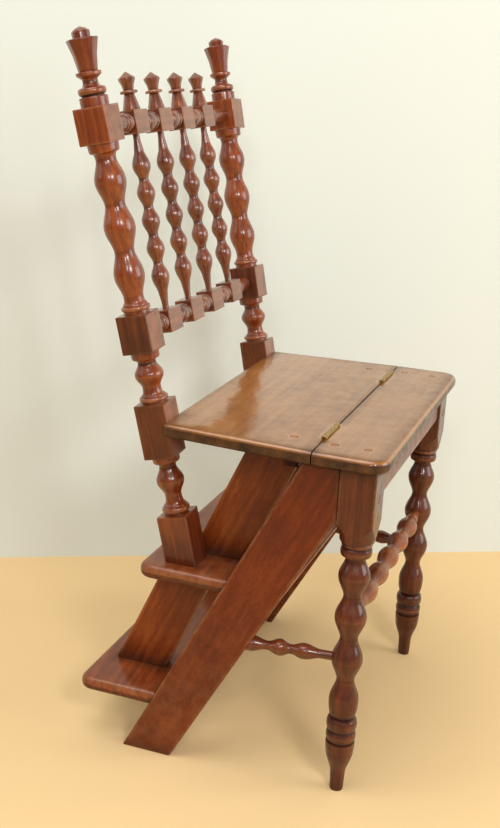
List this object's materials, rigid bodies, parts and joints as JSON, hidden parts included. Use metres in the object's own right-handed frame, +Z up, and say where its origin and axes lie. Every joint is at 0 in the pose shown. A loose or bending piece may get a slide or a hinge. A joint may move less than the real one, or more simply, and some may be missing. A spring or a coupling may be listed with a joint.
{
  "type": "folding library step chair",
  "caption": "Turned side chair whose back and rear seat fold forward about a hinge in the seat to make a flight of library steps.",
  "frame": {"origin": "on the floor, below the middle of the chair's bounding box", "axes": "+X to the chair's front, +Y to its left, +Z up"},
  "size_m": [0.4182, 0.457, 0.9119],
  "materials": {
    "turned_wood": "french polish, gloss",
    "string_wood": "french polish, satin",
    "seat_wood": "french polish, gloss, worn",
    "hidden_wood": "bare",
    "plug_wood": "french polish, satin",
    "brass": "worn"
  },
  "bodies": {
    "stand": {"front_leg_left": "turned_wood", "front_leg_right": "turned_wood", "front_stretcher": "turned_wood", "side_stretcher_left": "turned_wood", "side_stretcher_right": "turned_wood", "outer_string_left": "string_wood", "outer_string_right": "string_wood", "fixed_tread": "string_wood", "front_rail": "string_wood", "front_seat_strip": "seat_wood", "corner_block_left": "hidden_wood", "corner_block_right": "hidden_wood", "strip_plug_1": "plug_wood", "strip_plug_2": "plug_wood", "strip_plug_3": "plug_wood", "strip_plug_4": "plug_wood", "leg_plug_left": "plug_wood", "leg_plug_right": "plug_wood", "tread_pin_left_1": "plug_wood", "tread_pin_left_2": "plug_wood", "tread_pin_right_1": "plug_wood", "tread_pin_right_2": "plug_wood", "hinge_leaf_fixed_left": "brass", "hinge_leaf_fixed_right": "brass", "hinge_pin_left": "brass", "hinge_pin_right": "brass"},
    "folding_top": {"rear_seat_board": "seat_wood", "back_post_left": "turned_wood", "back_post_right": "turned_wood", "crest_rail": "turned_wood", "lower_back_rail": "turned_wood", "spindle_1": "turned_wood", "spindle_2": "turned_wood", "spindle_3": "turned_wood", "spindle_4": "turned_wood", "spindle_finial_1": "turned_wood", "spindle_finial_2": "turned_wood", "spindle_finial_3": "turned_wood", "spindle_finial_4": "turned_wood", "upper_string_left": "string_wood", "upper_string_right": "string_wood", "lower_string_left": "string_wood", "lower_string_right": "string_wood", "mid_tread": "string_wood", "low_tread": "string_wood", "board_cleat": "hidden_wood", "hinge_leaf_moving_left": "brass", "hinge_leaf_moving_right": "brass", "board_plug_left": "plug_wood", "board_plug_right": "plug_wood"}
  },
  "joints": [
    {"name": "seat_hinge", "type": "hinge", "parent": "stand", "child": "folding_top", "pos_m": [0.11907, 0, 0.4562], "axis": [0, 1, 0], "range_deg": [0, 180]}
  ]
}
